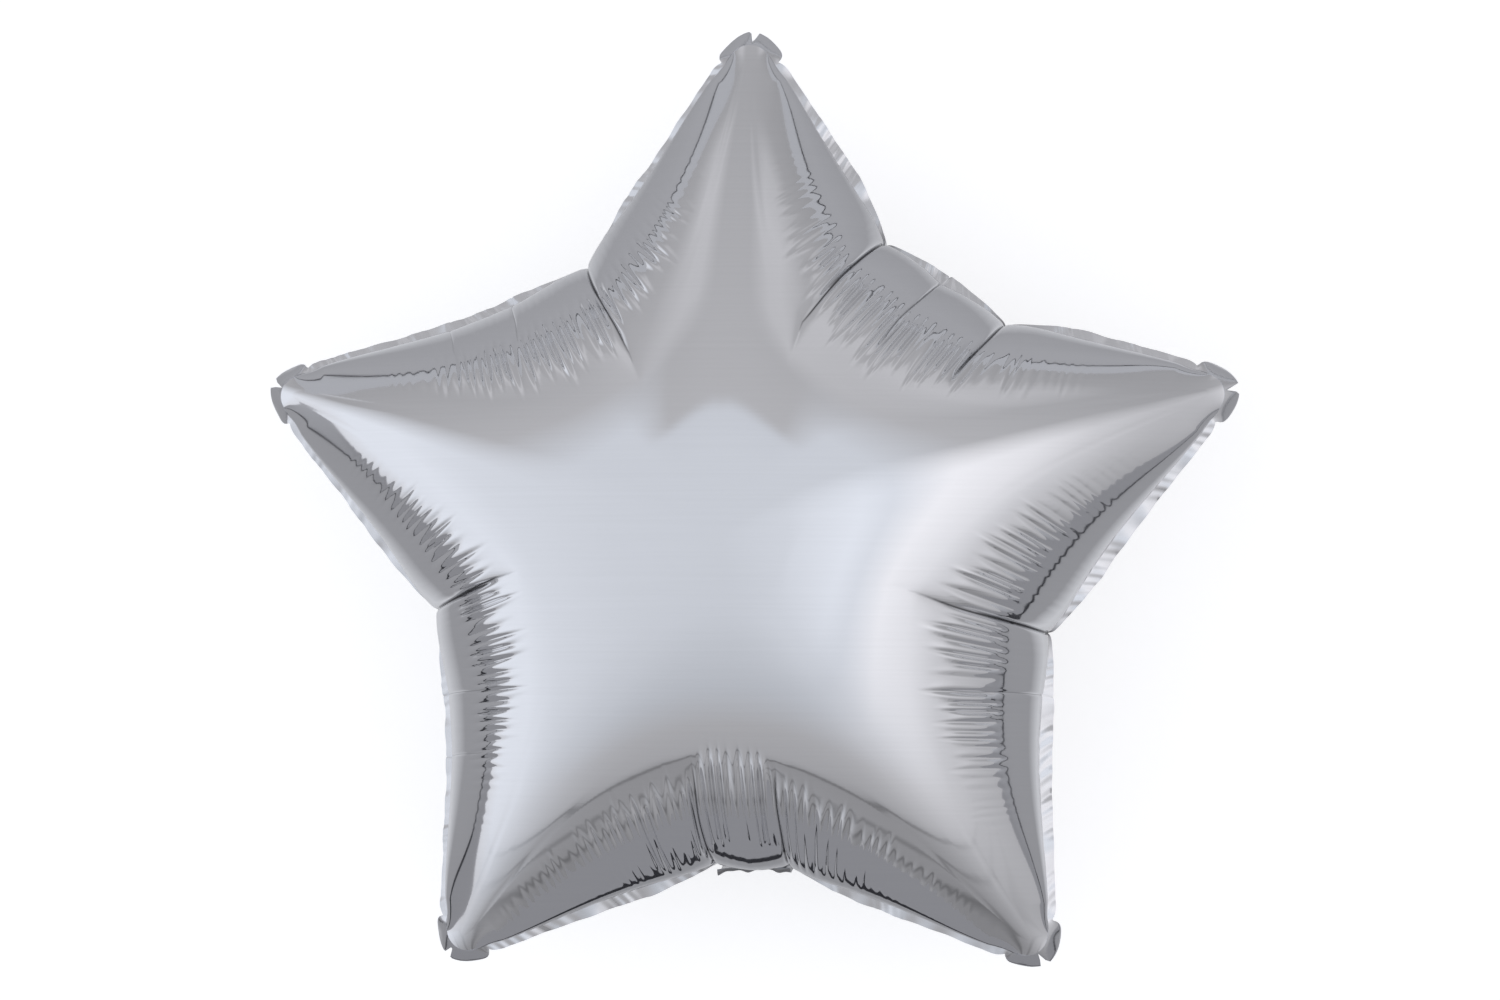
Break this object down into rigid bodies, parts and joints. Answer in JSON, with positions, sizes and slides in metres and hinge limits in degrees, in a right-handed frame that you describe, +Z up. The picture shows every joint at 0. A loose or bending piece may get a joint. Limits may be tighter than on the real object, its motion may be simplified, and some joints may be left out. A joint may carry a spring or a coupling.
{
  "type": "star foil balloon",
  "caption": "Star-shaped silver foil party balloon, filled and sealed, with puckered seams and a short filling neck folded behind.",
  "frame": {"origin": "middle of the small flattened patch on the back film, where the balloon rests", "axes": "+X across the star, towards the tips of its side arms on the right; +Y towards the tip of the top arm; +Z up through the middle, out of the front film"},
  "size_m": [0.455, 0.4338, 0.185],
  "materials": {
    "silver_foil": "bright metallised film, nearly a mirror, crisp in folds"
  },
  "bodies": {
    "root": {"foil_balloon": "silver_foil"}
  },
  "joints": []
}
